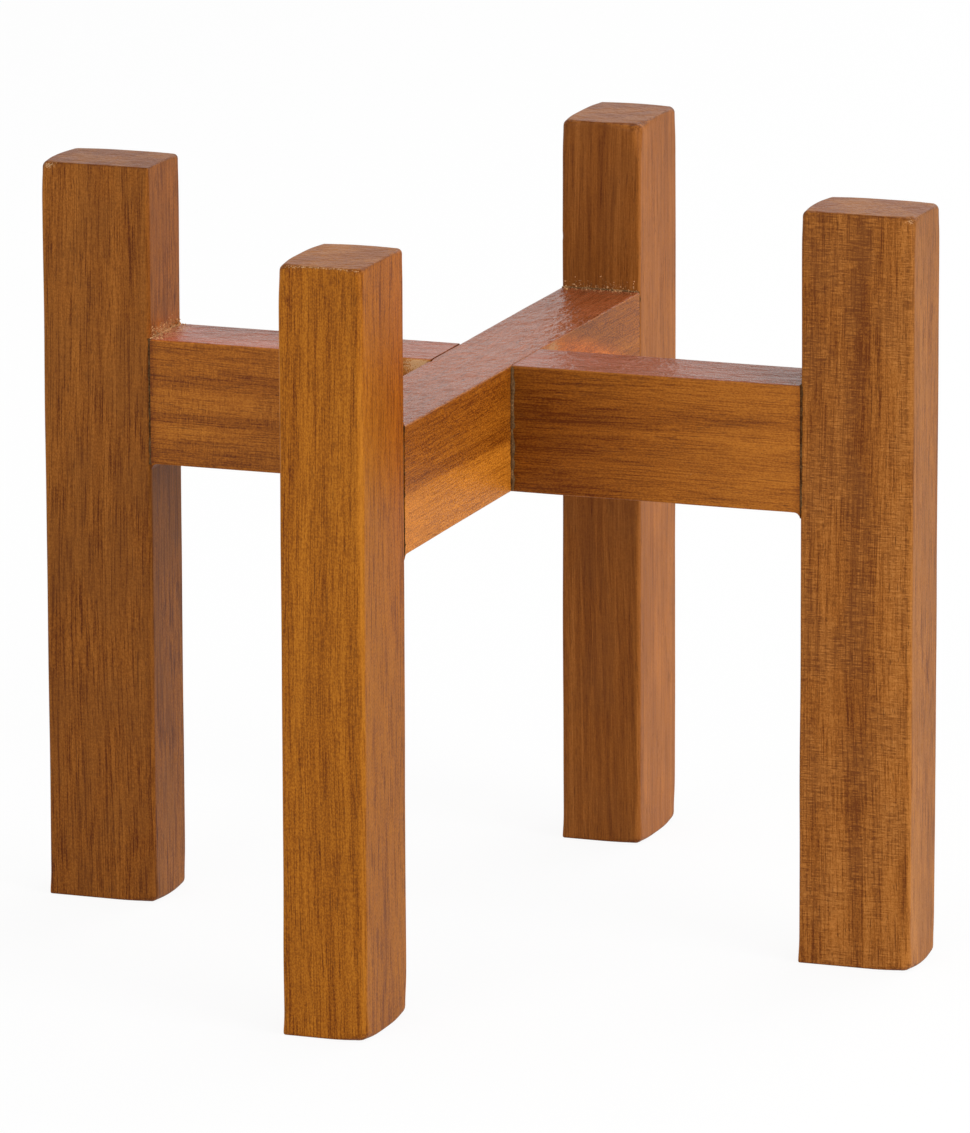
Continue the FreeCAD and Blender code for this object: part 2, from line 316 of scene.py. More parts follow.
class GlueSettings(bpy.types.PropertyGroup):
    """Glue that was pressed out of the joints, and dark beads that paint the shade in the grooves beside
    the bars' ends.
    """
    corner_bead: length("Corner beads", "Radius of the beads in the corners of the cross", 0.7 * MM)
    seat_bead: length("Seat beads", "Radius of the beads where the top of a bar meets a leg", 0.35 * MM)
    # The dark groove beads are painted shade.
    groove_shade_bead: length("Groove beads", "Radius of the dark beads beside a bar's end", 0.6 * MM)
    step: length("Step", "Distance between the points along a bead", 0.35 * MM)
    crumb: length("Crumb", "Radius of the largest crumbs", 0.75 * MM)
    strip: length("Crumb strip", "How far from a joint crumbs lie", 5.0 * MM)
    crumb_density: number("Crumb density", "Crumbs to a square metre right at a joint", 0.9e6)
    lumps: share_of("Lumps", "Share by which a bead's radius varies", 0.50, high=0.9)
    seed: IntProperty(name="Seed", description="Start of the random numbers for the glue", default=7)


class StageSettings(bpy.types.PropertyGroup):
    """Camera and light."""
    azimuth: angle("Azimuth", "Turn of the camera from the front, towards the right", 20.138)
    elevation: angle("Elevation", "Height of the camera above the horizon", 13.008)
    roll: angle("Roll", "Turn of the camera about its line of sight", -0.186)
    distance: length("Distance", "Camera to the point that it looks at", 3.2143)
    target: FloatVectorProperty(
        name="Target", description="The point that the camera looks at", subtype="TRANSLATION",
        default=(-0.0005, 0.0, 0.1201),
    )
    lens: number("Lens", "Focal length of the camera in millimetres", 313.0)
    surround: number("Surround", "Strength of the light from all round", 0.50)
    floor_white: share_of("Floor white", "Share of the floor that shows as plain white", 0.90)


def add_node(tree, kind, inputs=None, **options):
    """Adds a node, sets its options and fills its inputs with values or links."""
    made = tree.nodes.new(kind)
    for name, value in options.items():
        setattr(made, name, value)
    for name, value in (inputs or {}).items():
        if isinstance(value, bpy.types.NodeSocket):
            tree.links.new(value, made.inputs[name])
        else:
            made.inputs[name].default_value = value
    return made


def maths(tree, operation, *values):
    """A maths node's result."""
    return add_node(tree, "ShaderNodeMath", dict(enumerate(values)), operation=operation).outputs[0]


def times(tree, first, second):
    """Two values multiplied."""
    return maths(tree, "MULTIPLY", first, second)


def add_up(tree, total, values, strengths):
    """A total with some of the values added, each times its strength."""
    for key, strength in strengths.items():
        total = maths(tree, "MULTIPLY_ADD", values[key], strength, total)
    return total


def vector_maths(tree, operation, *values):
    """A vector maths node's vector."""
    inputs = dict(enumerate(values))
    return add_node(tree, "ShaderNodeVectorMath", inputs, operation=operation).outputs[0]


def scaled(tree, vector, factor):
    """A vector times a number."""
    inputs = {0: vector, "Scale": factor}
    return add_node(tree, "ShaderNodeVectorMath", inputs, operation="SCALE").outputs[0]


def mix_colours(tree, share, first, second, blend="MIX"):
    """The first colour turned into the second by share."""
    inputs = {0: share, 6: first, 7: second}
    return add_node(tree, "ShaderNodeMix", inputs, data_type="RGBA", blend_type=blend).outputs[2]


def fade(tree, value, low, high, at_low=0.0, at_high=1.0):
    """A smooth step from at_low to at_high while value goes from low to high."""
    inputs = {"Value": value, "From Min": low, "From Max": high, "To Min": at_low, "To Max": at_high}
    made = add_node(tree, "ShaderNodeMapRange", inputs, interpolation_type="SMOOTHSTEP", clamp=True)
    return made.outputs["Result"]


def colour_ramp(tree, value, stops):
    """A ramp's colour at value, from its stops in order, each a place and an opaque colour."""
    ramp = add_node(tree, "ShaderNodeValToRGB", {"Fac": value})
    elements = ramp.color_ramp.elements
    for k, end in enumerate((stops[0], stops[-1])):
        elements[k].position, elements[k].color = end
    for place, colour in stops[1:-1]:
        elements.new(place).color = colour
    return ramp.outputs["Color"]


def in_cells(tree, place, sizes, offset):
    """A place counted in cells of the given sizes in millimetres, and moved by offset."""
    counted = vector_maths(tree, "MULTIPLY", place, [1.0 / size for size in sizes])
    return vector_maths(tree, "ADD", counted, offset)


CLOUD_ROUGHNESS = 0.55


def clouds(tree, place, sizes, detail, offset=0.0):
    """Soft noise about zero, with blobs of the given sizes in millimetres."""
    moved = in_cells(tree, place, sizes, (offset, 2.0 * offset, 3.0 * offset))
    inputs = {"Vector": moved, "Scale": 1.0, "Detail": detail, "Roughness": CLOUD_ROUGHNESS}
    return maths(tree, "SUBTRACT", add_node(tree, "ShaderNodeTexNoise", inputs).outputs[0], 0.5)


def read_attribute(tree, name):
    """One of the values that a piece's points carry."""
    return add_node(tree, "ShaderNodeAttribute", attribute_name=name)


def new_material(name):
    """An empty node material and its tree."""
    material = bpy.data.materials.new(name)
    material.use_nodes = True
    material.node_tree.nodes.clear()
    return material, material.node_tree


def end_material(tree, colour, roughness, height, strength, distance, **options):
    """Ends a material's tree: a surface with its colour, roughness, relief and other options."""
    inputs = {"Height": height, "Strength": strength, "Distance": distance}
    bump = add_node(tree, "ShaderNodeBump", inputs)
    surface = add_node(tree, "ShaderNodeBsdfPrincipled", {
        "Base Color": colour, "Roughness": roughness, "Normal": bump.outputs["Normal"], **options,
    })
    add_node(tree, "ShaderNodeOutputMaterial", {"Surface": surface.outputs["BSDF"]})


def shade(colour, shares):
    """A colour with each channel scaled, as an opaque colour for a socket."""
    return (*(min(1.0, c * s) for c, s in zip(colour, shares)), 1.0)


# Noise in the wood: its blobs' sizes in millimetres, twice across the grain and then along it, its
# detail, and what it adds to the board's seed. Where it makes marks with clear edges, also half
# the width of such an edge, and the noise below which a mark is dark.
PATTERNS = {
    "ribbons": ((9.0, 16.0, 130.0), 2.0, 0.0),
    "stripes": ((1.8, 1.8, 90.0), 2.0, 31.0, 0.12, 0.0),
    "fibres": ((0.25, 0.25, 7.0), 1.0, 5.0),
    "flecks": ((0.45, 0.45, 0.75), 1.0, 17.0, 0.12, 0.0),
    "patches": ((12.0, 12.0, 24.0), 1.0, 19.0),
    "ripple": ((5.0, 5.0, 0.45), 1.0, 7.0, 0.12, 0.0),
    "breaks": ((1.2, 1.2, 2.0), 1.0, 10.0),
    "waves": ((1.3, 1.3, 1.8), 2.0, 29.0),
    "broad_waves": ((6.0, 6.0, 10.0), 2.0, 43.0),
    "dashes": ((1.2, 1.2, 4.5), 2.0, 37.0, 0.10, -0.06),
    "streaks": ((2.5, 2.5, 55.0), 2.0, 47.0),
    "bundles": ((5.0, 5.0, 90.0), 1.0, 21.0),
}
# The same for the fine threads, and for the ends of the boards.
LEG_THREADS = ((0.42, 1.008, 18.0), 2.0, 21.0, 0.10, -0.07)
BAR_THREADS = ((1.008, 0.42, 18.0), 2.0, 21.0, 0.10, -0.07)
END_PATTERNS = {
    "mottles": ((11.0, 11.0, 11.0), 1.0, 0.0),
    "fine_mottles": ((1.2, 1.2, 1.2), 3.0, 0.0),
    "frays": ((1.6, 1.6, 1.0), 2.0, 41.0),
    "specks": ((0.45, 0.45, 0.45), 2.0, 23.0),
}

# Tubes along the grain: their cells' sizes in millimetres, the widest tube's radius as a share of
# a cell, and what they add to the board's seed.
PORES = {
    "long_pores": ((0.85, 0.85, 9.0), 0.26, 0.0),
    "short_pores": ((0.60, 0.60, 4.0), 0.28, 9.0),
    "thin_lines": ((0.9, 0.9, 40.0), 0.20, 13.0),
    "wide_lines": ((2.4, 2.4, 24.0), 0.11, 17.0),
}
NARROWEST_PORE, PORE_SPREAD, PORE_CORE = 0.03, 1.6, 0.55
WIDE_LINE_TONE, DARKEST_PORE = 0.6, 0.85

# Shares of a board's middle colour, by how light the wood is, and for other looks of it.
DARK_WOOD = (0.42, 0.30, 0.20)
LIGHT_WOOD = (1.62, 1.88, 2.80)
BRIGHT_WOOD = (2.32, 2.90, 5.00)
TONES = ((0.05, DARK_WOOD), (0.50, (1.0, 1.0, 1.0)), (0.95, LIGHT_WOOD), (1.40, BRIGHT_WOOD))
TONE_SPAN = 0.7
DULL_WOOD = (0.85, 0.95, 1.60)
# End grain is mottled between the next two colours; the mauve one is partly painted sheen.
MAUVE_SHEEN_END = (0.76, 0.68, 1.80)
GOLDEN_END = (1.26, 1.38, 2.30)
WARM_TINT = (1.40, 0.86, 0.50, 1.0)
# Painted sheen: a bluer, mauve tint for the bars' tops.
TOP_SHEEN_TINT = (0.97, 0.88, 5.20, 1.0)

# What a board's points carry for its material, and how strong its values are in its look.
MARKS = ("tone", "warm", "dust", "arris", "rim", "end", "rows", "polish")
FIGURED = ("bands", "ribbons", "stripes", "threads", "flecks")
MIDDLE_TONE, THREAD_SHIFT = 0.455, 0.2
FIBRE_TONE, DASH_TONE, POLISHED_TONE = 0.50, 0.25, 0.45
BROAD_WAVE, END_WAVE = 3.0, 0.6
FINE_MOTTLE, END_SHARE = 0.75, 0.65
DUST = {"rim": 0.12, "specks": 1.3}
ROUGHNESS = {"fibres": 0.25, "dark": 0.15, "dusty": 0.25, "end": -0.06}
RELIEF = {"fibres": 0.5, "threads": 0.3, "flecks": 0.2, "dark": -1.0}
WOOD_BUMP = 0.6
LEG_IOR, BAR_IOR = 1.18, 1.22

# How far the grain wanders sideways, and over which lengths, in millimetres.
SWAY = (9.0, 9.0, 0.0)
SWAY_LENGTHS = (50.0, 50.0, 190.0)
HALF = (0.5, 0.5, 0.5)
BAND_DETAIL, BAND_ROUGHNESS = 4.0, 0.62


def pattern(tree, place, seed, sizes, detail, offset, edge=0.0, middle=0.0):
    """One of the wood's patterns, about zero, in a board with this seed."""
    value = clouds(tree, place, sizes, detail, seed + offset)
    return fade(tree, value, middle - edge, middle + edge, -0.5, 0.5) if edge else value


def pore_dashes(tree, place, seed, sizes, widest, offset):
    """Open pores: thin tubes along the grain, seen as dashes on a side and dots on an end."""
    moved = in_cells(tree, place, sizes, [seed + offset] * 3)
    cells = add_node(tree, "ShaderNodeTexVoronoi", {"Vector": moved, "Scale": 1.0}, feature="F1").outputs
    chance = add_node(tree, "ShaderNodeSeparateColor", {"Color": cells["Color"]}).outputs[0]
    chance = maths(tree, "POWER", chance, PORE_SPREAD)
    radius = maths(tree, "MULTIPLY_ADD", chance, widest, NARROWEST_PORE)
    return fade(tree, maths(tree, "DIVIDE", cells["Distance"], radius), PORE_CORE, 1.0, 1.0, 0.0)


def swayed(tree, grain):
    """The place in the wood, moved sideways a little so that the grain wanders."""
    place = vector_maths(tree, "DIVIDE", grain, SWAY_LENGTHS)
    sway = add_node(tree, "ShaderNodeTexNoise", {"Vector": place, "Scale": 1.0, "Detail": 1.0})
    sway = vector_maths(tree, "SUBTRACT", sway.outputs["Color"], HALF)
    return vector_maths(tree, "ADD", grain, vector_maths(tree, "MULTIPLY", sway, SWAY))


def growth_bands(tree, wood, figure):
    """Bands of lighter and darker growth around the pith."""
    from_pith = vector_maths(tree, "SUBTRACT", wood, (*figure.pith, 0.0))
    from_pith = vector_maths(tree, "MULTIPLY", from_pith, (1.0, 1.0, 0.0))
    ring = add_node(tree, "ShaderNodeVectorMath", {0: from_pith}, operation="LENGTH").outputs["Value"]
    ring = maths(tree, "DIVIDE", ring, figure.band_width)
    inputs = {"W": ring, "Scale": 1.0, "Detail": BAND_DETAIL, "Roughness": BAND_ROUGHNESS}
    bands = add_node(tree, "ShaderNodeTexNoise", inputs, noise_dimensions="1D").outputs[0]
    return maths(tree, "SUBTRACT", bands, 0.5)


def wood_values(tree, name):
    """What one board's look is mixed from, by name: its marks, patterns and pores."""
    figure = FIGURES[name]
    grain = read_attribute(tree, "grain").outputs["Vector"]
    wood = swayed(tree, grain)
    at = {key: read_attribute(tree, key).outputs["Fac"] for key in MARKS}
    sides = {**PATTERNS, "threads": BAR_THREADS if name in BARS else LEG_THREADS}
    for place, rows in ((wood, sides), (grain, END_PATTERNS)):
        at.update((key, pattern(tree, place, figure.seed, *row)) for key, row in rows.items())
    at.update((key, pore_dashes(tree, wood, figure.seed, *row)) for key, row in PORES.items())
    at["bands"] = growth_bands(tree, wood, figure)

    whole = times(tree, fade(tree, at["breaks"], -0.14, 0.08), at["rows"])
    whole = times(tree, whole, fade(tree, at["patches"], -0.15, 0.10, 0.35, 1.0))
    at["ripple"] = times(tree, at["ripple"], whole)
    dashes = times(tree, at["dashes"], fade(tree, at["patches"], -0.12, 0.12, 0.25, 1.0))
    at["dashes"] = times(tree, maths(tree, "ADD", dashes, at["streaks"]), at["polish"])
    waves = add_up(tree, at["waves"], at, {"broad_waves": BROAD_WAVE})
    at["waves"] = times(tree, waves, add_up(tree, at["polish"], at, {"end": END_WAVE}))

    pores = maths(tree, "MAXIMUM", at["long_pores"], at["short_pores"])
    at["pores"] = times(tree, pores, fade(tree, at["ribbons"], -0.2, 0.2, 0.6, 1.2))
    lines = maths(tree, "MAXIMUM", at["thin_lines"], times(tree, at["wide_lines"], WIDE_LINE_TONE))
    at["lines"] = times(tree, lines, fade(tree, at["bundles"], -0.10, 0.10, 0.15, 1.0))
    dark = add_up(tree, 0.0, at, {"pores": figure.pores, "lines": figure.lines})
    at["dark"] = maths(tree, "MINIMUM", dark, DARKEST_PORE)
    at["dusty"] = fade(tree, add_up(tree, at["dust"], at, DUST), 0.42, 0.75, 0.0, 0.85)
    return at


def side_colour(tree, figure, middle, at):
    """The colour of a board's wood before its pores, its ends and its wear."""
    strengths = {key: getattr(figure, key) for key in FIGURED}
    tone = add_up(tree, 0.0, at, {**strengths, "ripple": figure.hatch, "fibres": FIBRE_TONE})
    tone = times(tree, tone, fade(tree, at["polish"], 0.0, 1.0, 1.0, POLISHED_TONE))
    tone = add_up(tree, tone, at, {"dashes": DASH_TONE, "tone": 1.0})
    tone = maths(tree, "ADD", tone, MIDDLE_TONE - THREAD_SHIFT * figure.threads)
    stops = [(place * TONE_SPAN, shade(middle, look)) for place, look in TONES]
    colour = colour_ramp(tree, times(tree, tone, TONE_SPAN), stops)
    dull = times(tree, fade(tree, at["patches"], -0.15, 0.15), figure.dull)
    colour = mix_colours(tree, dull, colour, shade(middle, DULL_WOOD))
    # Painted sheen: the bars' tops tinted bluer and mauve.
    colour = mix_colours(tree, at["polish"], colour, TOP_SHEEN_TINT, "MULTIPLY")
    return mix_colours(tree, at["warm"], colour, WARM_TINT, "MULTIPLY")


def wood_material(name, colours, varnish):
    """Varnished wood for one board, grown from its place in the wood."""
    figure = FIGURES[name]
    middle = getattr(colours, name)
    material, tree = new_material(f"{name}_wood")
    at = wood_values(tree, name)
    colour = side_colour(tree, figure, middle, at)
    colour = mix_colours(tree, at["dark"], colour, (*colours.pore, 1.0))

    # End grain mottle; its mauve part is partly painted sheen.
    mottle = fade(tree, add_up(tree, at["mottles"], at, {"fine_mottles": FINE_MOTTLE}), -0.13, 0.13)
    end_wood_and_sheen = mix_colours(tree, mottle, shade(middle, MAUVE_SHEEN_END), shade(middle, GOLDEN_END))
    colour = mix_colours(tree, times(tree, at["end"], END_SHARE), colour, end_wood_and_sheen)
    worn = times(tree, at["arris"], fade(tree, at["stripes"], -0.5, 0.5, 0.4 * figure.worn, figure.worn))
    worn = times(tree, worn, fade(tree, at["rim"], 0.0, 0.8, 1.0, 0.0))
    colour = mix_colours(tree, worn, colour, shade(middle, LIGHT_WOOD))
    frayed = times(tree, at["rim"], fade(tree, at["frays"], -0.12, 0.12, 0.1, 0.75))
    colour = mix_colours(tree, frayed, colour, shade(middle, DARK_WOOD))
    colour = mix_colours(tree, at["dusty"], colour, (*colours.torn, 1.0))

    rough = add_up(tree, varnish.roughness, at, {**ROUGHNESS, "polish": -varnish.polish})
    height = add_up(tree, 0.0, at, {**RELIEF, "waves": varnish.top_relief})
    ior = BAR_IOR if name in BARS else LEG_IOR
    end_material(tree, colour, rough, height, WOOD_BUMP, varnish.relief, IOR=ior)
    return material


EDGE_LINES = (0.0, 0.14, 0.32, 0.55, 0.8, 1.1, 1.6)


def grid_lines(low, high, step, margin, kept=()):
    """Places from low to high, close together near both ends, with a line on each kept place."""
    near = margin * np.array(EDGE_LINES)
    count = max(2, round((high - low - 2 * near[-1]) / step))
    inner = np.linspace(low + near[-1], high - near[-1], count + 1)
    lines = np.concatenate([low + near[:-1], inner, (high - near[:-1])[::-1]])
    for place in kept:
        lines[np.abs(lines - place).argmin()] = place
    return lines


def shell_of(solid):
    """The outer quads of a block of cells, as grid corners and faces that point outwards."""
    padded = np.pad(solid, 1)
    corner_count = np.array(solid.shape) + 1
    quads = []
    for axis in range(3):
        across = np.eye(3, dtype=int)[(axis + 1) % 3]
        along = np.eye(3, dtype=int)[(axis + 2) % 3]
        for side in (-1, 1):
            neighbour = np.roll(padded, -side, axis)[1:-1, 1:-1, 1:-1]
            cells = np.argwhere(solid & ~neighbour)
            cells[:, axis] += side > 0
            ring = [cells, cells + across, cells + across + along, cells + along]
            corners = np.stack(ring[::side], 1)
            quads.append(np.ravel_multi_index(corners.transpose(2, 0, 1), corner_count))
    used, faces = np.unique(np.concatenate(quads), return_inverse=True)
    return np.stack(np.unravel_index(used, corner_count), 1), faces.reshape(-1, 4)


def wander(points, size, seed):
    """Smooth noise from -1 to 1 at each point, with waves of the given size in metres."""
    shift = Vector((seed, 2.0 * seed, -seed))
    return np.array([noise.noise(Vector(point) / size + shift) for point in points])


def new_mesh(name, points, edges, faces, values):
    """A mesh whose points carry the given values."""
    mesh = bpy.data.meshes.new(name)
    mesh.from_pydata(points, edges, faces)
    for key, numbers in values.items():
        layer = mesh.attributes.new(key, "FLOAT", "POINT")
        layer.data.foreach_set("value", np.asarray(numbers, np.float32))
    return mesh


class Board(NamedTuple):
    """What sets one board apart: its node, its slot, which nothing here uses, the axis of its grain, the
    notch cut in it, the radius of its edges and the dowels that it is drilled for."""
    name: str
    slot: str
    grain_axis: int
    notch: tuple
    radius: float
    dowels: list


def dowels_of(*arms):
    """The names of the dowels at the ends of these arms of the cross."""
    return [f"dowel_{arm}_{row}" for arm in arms for row in DOWEL_ROWS]


def board_grid(board, low, high, settings):
    """A board's grid: its lines along each axis, and which of its cells hold wood."""
    margin = board.radius * (1 + settings.unevenness)
    lines = []
    for a in range(3):
        along = a == board.grain_axis
        kept = [corner[a] for corner in board.notch if (along or a == Z) and low[a] < corner[a] < high[a]]
        step = settings.grid_run if along else settings.grid_step
        lines.append(grid_lines(low[a], high[a], step, margin, kept))
    middles = [(line[1:] + line[:-1]) / 2 for line in lines]
    solid = np.ones([len(middle) for middle in middles], bool)
    if board.notch:
        cut = [(middle > start) & (middle < stop) for middle, start, stop in zip(middles, *board.notch)]
        solid[np.ix_(*cut)] = False
    return lines, solid


def spread(points, middle, reach, lean=0.0, axis=Z):
    """Each point's squared distance from a middle, counted in the reach."""
    away = points / MM - np.array(middle)
    away[:, Z] += lean * away[:, axis]
    return ((away / np.array(reach)) ** 2).sum(1)


# Lengths over which a leg's edges sharpen towards its ends, an edge's radius wanders, a face is
# hollowed, the hollows fade out at the foot, and a chip's bottom is torn.
END_REACH = 4.0 * MM
RADIUS_WAVE = 30 * MM
HOLLOW_WAVE = 48 * MM
FOOT_RUN = 8 * MM
TEAR_SIZE = 0.8 * MM
HOLLOW_SEED, TEAR_SEED = 40, 60
TEAR_SHARE, CHIP_DUST = 0.35, 0.45
NO_LENGTH, LEAST_LENGTH = 1e-9, 1e-7
FILLET_SHARE = 0.98
FACE_ON = 0.8


def edge_radii(board, points, to_end, settings):
    """How round the edges are near each point, uneven and worn as sanding and use leave them."""
    waves = wander(points, RADIUS_WAVE, FIGURES[board.name].seed)
    radii = board.radius * (1 + settings.unevenness * waves)
    if not board.notch:
        radii *= 1 - settings.end_sharpness * np.exp(-(to_end / END_REACH) ** 2)
    for middle, reach, added in WEARS.get(board.name, ()):
        radii += added * MM * np.exp(-spread(points, middle, reach))
    return radii


def hollows(board, points, low, settings):
    """How deep each point lies in the sanding hollows and chips, and how dusty the chips are."""
    seed = FIGURES[board.name].seed
    depth = settings.sanding_wave * (0.5 + 0.5 * wander(points, HOLLOW_WAVE, seed + HOLLOW_SEED))
    if board.grain_axis == Z:
        depth *= np.clip((points[:, Z] - low[Z]) / FOOT_RUN, 0.0, 1.0)
    dust = np.zeros(len(points))
    torn = 1 - TEAR_SHARE + TEAR_SHARE * wander(points, TEAR_SIZE, seed + TEAR_SEED)
    for middle, radius, dent in CHIPS.get(board.name, ()):
        bite = torn * np.clip(1 - spread(points, middle, radius), 0, 1) ** 2
        depth += dent * MM * bite
        dust = np.maximum(dust, CHIP_DUST * bite)
    return depth, dust


def wood_marks(board, points, outward, touched, dust):
    """What each point of a board tells its material, by the names in MARKS."""
    axis = board.grain_axis
    across = [a for a in range(3) if a != axis]
    tone = np.zeros(len(points))
    warm = np.zeros(len(points))
    rows = np.abs(outward[:, across[1]])
    # Marks in the wood's own colour, and light and shade painted into the tone.
    for stain_and_light in STAINS_AND_LIGHT[board.name]:
        away = spread(points, stain_and_light.middle, stain_and_light.reach, stain_and_light.lean, axis)
        share = np.exp(-away ** stain_and_light.sharpness)
        if stain_and_light.facing:
            share *= np.clip(outward @ np.array(stain_and_light.facing), 0.0, 1.0)
        tone += stain_and_light.tone * share
        warm += stain_and_light.warm * share
        rows += stain_and_light.rows * share
        dust = np.maximum(dust, stain_and_light.dust * share)
    endways = np.abs(outward[:, axis])
    steepest = np.abs(outward).max(1)
    return {
        "arris": np.where(touched, (1 - steepest) / (1 - math.sqrt(0.5)), 0.0),
        "rim": 2 * endways * np.sqrt(np.clip(1 - endways ** 2, 0.0, 1.0)),
        "end": endways > FACE_ON,
        "rows": rows,
        "tone": tone,
        "warm": warm,
        "dust": dust,
        # Tops of the bars: smoother varnish, and a painted sheen in their colour.
        "polish": (outward[:, Z] > FACE_ON) & bool(board.notch),
    }


def board_mesh(board, settings):
    """A sanded board in the place of its CAD node, with its values for the wood material."""
    low, high = (np.array(corner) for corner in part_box(board.name))
    axis = board.grain_axis
    lines, solid = board_grid(board, low, high, settings)
    corners, faces = shell_of(solid)
    points = np.stack([lines[a][corners[:, a]] for a in range(3)], 1)
    to_end = np.minimum(points[:, axis] - low[axis], high[axis] - points[:, axis])

    radii = edge_radii(board, points, to_end, settings)
    inset = np.repeat(radii[:, None], 3, 1)
    if board.notch:
        inset[:, axis] = 0.0
    core = np.clip(points, low + inset, high - inset)
    outward = points - core
    reach = np.linalg.norm(outward, axis=1)
    outward /= np.maximum(reach, NO_LENGTH)[:, None]
    touched = reach > LEAST_LENGTH
    placed = np.where(touched[:, None], core + outward * radii[:, None], points)

    depth, dust = hollows(board, points, low, settings)
    placed -= outward * depth[:, None]
    if board.notch:
        share = np.clip(1 - to_end / settings.fillet, 0.0, 1.0)
        drop = settings.fillet * (1 - np.sqrt(1 - FILLET_SHARE * share ** 2))
        placed[:, Z] -= drop * np.clip(-outward[:, Z], 0.0, 1.0)
    values = wood_marks(board, points, outward, touched, dust)
    return new_mesh(board.name, placed.tolist(), [], faces.tolist(), values)


def new_object(name, data):
    """An object for some data, linked into the scene."""
    made = bpy.data.objects.new(name, data)
    bpy.context.scene.collection.objects.link(made)
    return made


HOLE_PLAY = 0.05 * MM
HOLE_DEPTH = 1.0 * MM
HOLE_SIDES = 48


def drill(context, mesh, dowels):
    """A copy of a board's mesh with a hole for each of its dowels."""
    cutters = bmesh.new()
    for name in dowels:
        low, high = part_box(name)
        size = high - low
        axis = max(range(3), key=lambda a: size[a])
        turn = Vector(UP).rotation_difference(Matrix.Identity(3)[axis]).to_matrix().to_4x4()
        radius = min(size) / 2 + HOLE_PLAY
        bmesh.ops.create_cone(
            cutters, cap_ends=True, segments=HOLE_SIDES, radius1=radius, radius2=radius,
            depth=size[axis] + 2 * HOLE_DEPTH, matrix=Matrix.Translation((low + high) / 2) @ turn,
        )
    cutter_mesh = bpy.data.meshes.new("hole_cutters")
    cutters.to_mesh(cutter_mesh)
    cutters.free()
    cutter = new_object("hole_cutters", cutter_mesh)
    board = new_object(mesh.name, mesh)
    cut = board.modifiers.new("holes", "BOOLEAN")
    cut.operation = "DIFFERENCE"
    cut.solver = "EXACT"
    cut.object = cutter
    drilled = baked(context, board)
    bpy.data.objects.remove(board)
    bpy.data.objects.remove(cutter)
    bpy.data.meshes.remove(cutter_mesh)
    return drilled


def baked(context, holder):
    """What an object's modifiers make of it, as a plain mesh. The modifiers are then removed."""
    depsgraph = context.evaluated_depsgraph_get()
    evaluated = holder.evaluated_get(depsgraph)
    mesh = bpy.data.meshes.new_from_object(evaluated, preserve_all_data_layers=True, depsgraph=depsgraph)
    holder.modifiers.clear()
    return mesh


def note_grain(mesh, board):
    """Writes each point's place in the wood, in millimetres: twice across the grain, then along it."""
    low, high = (np.array(corner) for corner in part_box(board.name))
    points = np.empty(3 * len(mesh.vertices), np.float32)
    mesh.vertices.foreach_get("co", points)
    axes = [a for a in range(3) if a != board.grain_axis] + [board.grain_axis]
    place = (points.reshape(-1, 3) - (low + high) / 2)[:, axes] / MM
    layer = mesh.attributes.new("grain", "FLOAT_VECTOR", "POINT")
    layer.data.foreach_set("vector", place.astype(np.float32).ravel())


def new_piece(name, mesh):
    """An object for a mesh, riding on the stand's only body."""
    piece = new_object(name, mesh)
    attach(piece, BODY)
    return piece


SHARP = math.radians(50)


def make_board(context, board):
    """Makes one board, gives it its wood and lets it stand for its CAD node."""
    scene = context.scene
    mesh = drill(context, board_mesh(board, scene.stand_boards), board.dowels)
    note_grain(mesh, board)
    mesh.shade_smooth()
    mesh.set_sharp_from_angle(angle=SHARP)
    mesh.materials.append(wood_material(board.name, scene.stand_colours, scene.stand_varnish))
    piece = new_piece(f"{board.name}_sanded", mesh)
    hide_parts(board.name)


DOWEL_STREAK, DOWEL_FIBRE = 18.0, 0.4
PALE_DOWEL = (1.12, 1.15, 1.2)
DARK_DOWEL = (0.8, 0.74, 0.66)
DOWEL_ROUGHNESS, DOWEL_BUMP, DOWEL_RELIEF = 0.7, 0.3, 0.1 * MM


def dowel_material(name, colour, axis):
    """Pale wood for a dowel, with its streaks along the given axis."""
    material, tree = new_material(f"{name}_wood")
    place = scaled(tree, add_node(tree, "ShaderNodeTexCoord").outputs["Object"], 1.0 / MM)
    sizes = [DOWEL_STREAK if a == axis else DOWEL_FIBRE for a in range(3)]
    streaks = clouds(tree, place, sizes, 2.0)
    share = fade(tree, streaks, -0.25, 0.25)
    tint = mix_colours(tree, share, shade(colour, DARK_DOWEL), shade(colour, PALE_DOWEL))
    end_material(tree, tint, DOWEL_ROUGHNESS, streaks, DOWEL_BUMP, DOWEL_RELIEF)
    return material


class Seat(NamedTuple):
    """How the glue at one arm's seat looks: its bead against the usual one, its tint, its crumbs."""
    bead: float
    tint: float
    crumbs: float


SEATS = {
    "right": Seat(1.0, 0.30, 1.0),
    "back": Seat(1.0, 0.50, 1.6),
    "left": Seat(0.6, 0.90, 3.0),
    "front": Seat(1.0, 0.45, 1.0),
}
# The groove beads' tint is near the darkest glue: painted shade in the grooves.
CORNER_TINT, GROOVE_SHADE_TINT = 0.36, 0.10
BEAD_INSET = 0.8 * MM
BEAD_SIDES = 10
LUMP_SIZE = 2.6 * MM
LUMP_SWELL = 3.0

# How far out of its corner, into its leg and in from its sides a bead lies, in radii of its own.
CORNER_OUT, GROOVE_IN, GROOVE_INSET, SEAT_INSET = 0.3, 0.6, 1.25, 1.5

STRIP_ROWS = 6
STRIP_INSET, STRIP_SUNK = 1.0 * MM, 0.1 * MM
CRUMB_TINTS = (0.60, 1.2)
CRUMB_TURNS = ((0.0, 0.0, 0.0), (6.28, 6.28, 6.28))
CRUMB_SIZES = ((0.3, 0.3, 0.25), (1.0, 0.8, 0.6))


def arm_turns():
    """Each arm of the cross with the turn that brings the right arm to it."""
    return [(arm, Matrix.Rotation(k * math.pi / 2, 4, "Z")) for k, arm in enumerate(ARMS)]


